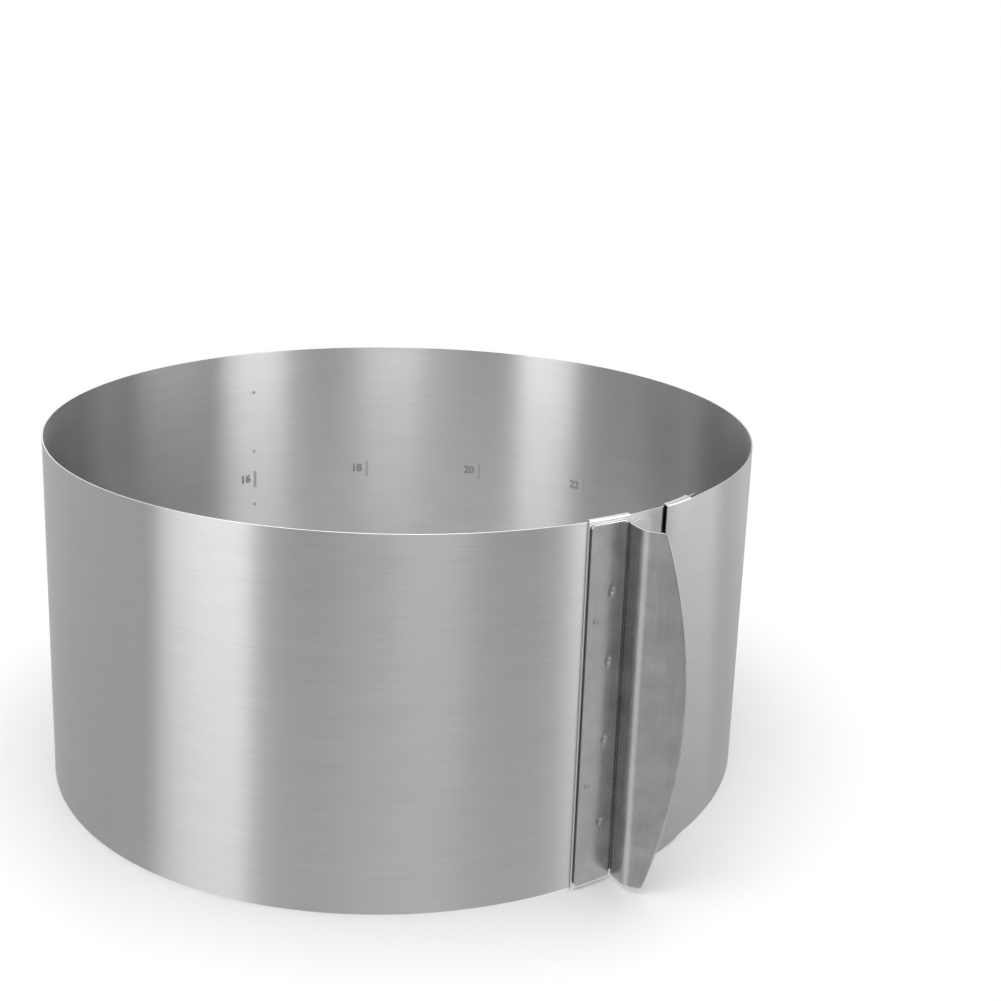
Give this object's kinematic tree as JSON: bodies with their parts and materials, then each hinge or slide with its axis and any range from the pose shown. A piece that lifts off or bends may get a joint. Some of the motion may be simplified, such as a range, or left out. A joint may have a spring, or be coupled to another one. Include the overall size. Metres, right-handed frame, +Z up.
{
  "type": "adjustable cake ring",
  "caption": "Bottomless round baking ring of rolled steel band, whose ends slide past each other, with a sliding clip and two wing handles for changing its diameter.",
  "frame": {"origin": "under the middle of the whole outline, handles included, in the plane that the part stands on", "axes": "+Z up along the ring's axis, which stands 0.4 mm behind the origin; -Y towards the slider's handle; +X to the right of that handle, where the band's outer end lies"},
  "size_m": [0.301, 0.3536, 0.1472],
  "materials": {
    "band_steel": "stainless sheet, brushed along the band",
    "clip_steel": "stainless sheet, brushed",
    "handle_steel": "stainless sheet, brushed up and down, duller than the band"
  },
  "bodies": {
    "ring": {"band": "band_steel", "fixed_handle": "handle_steel"},
    "slider": {"slider_clip": "clip_steel", "slider_handle": "handle_steel"}
  },
  "joints": [
    {"name": "size_slide", "type": "hinge", "parent": "ring", "child": "slider", "pos_m": [0, 0.00045, 0.0736], "axis": [0, 0, 1], "range_deg": [-168, 0]}
  ]
}
